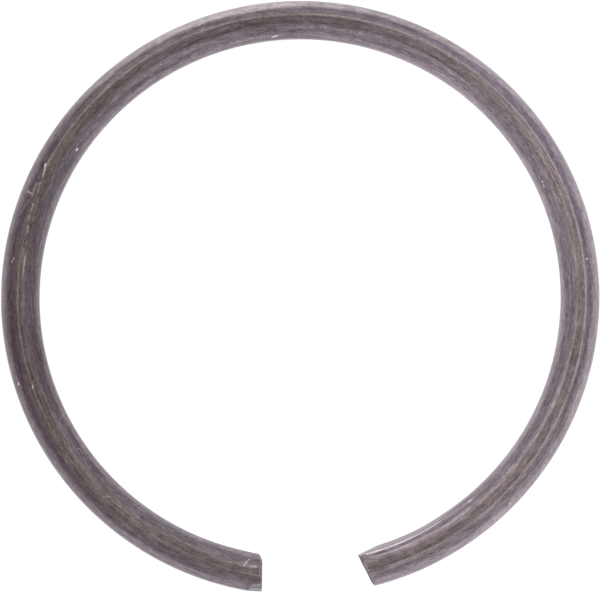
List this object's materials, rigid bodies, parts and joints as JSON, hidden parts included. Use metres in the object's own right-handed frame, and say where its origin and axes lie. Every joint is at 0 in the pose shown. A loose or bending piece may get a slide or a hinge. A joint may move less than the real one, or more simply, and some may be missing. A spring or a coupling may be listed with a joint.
{
  "type": "round wire circlip retaining ring",
  "caption": "Open ring of round spring wire with sheared ends, sprung into a shaft groove to stop a part sliding along the shaft.",
  "frame": {"origin": "centre of the ring, at the middle of the wire's thickness", "axes": "+Z along the shaft's axis and up as the ring lies flat, -Y through the middle of the gap, +X to the right seen from above"},
  "size_m": [0.0384, 0.0381, 0.0024],
  "materials": {
    "spring_wire": "drawn spring steel, dark oil-tempered skin with fine draw lines and light handling scratches"
  },
  "bodies": {
    "root": {"retaining_ring": "spring_wire"}
  },
  "joints": []
}
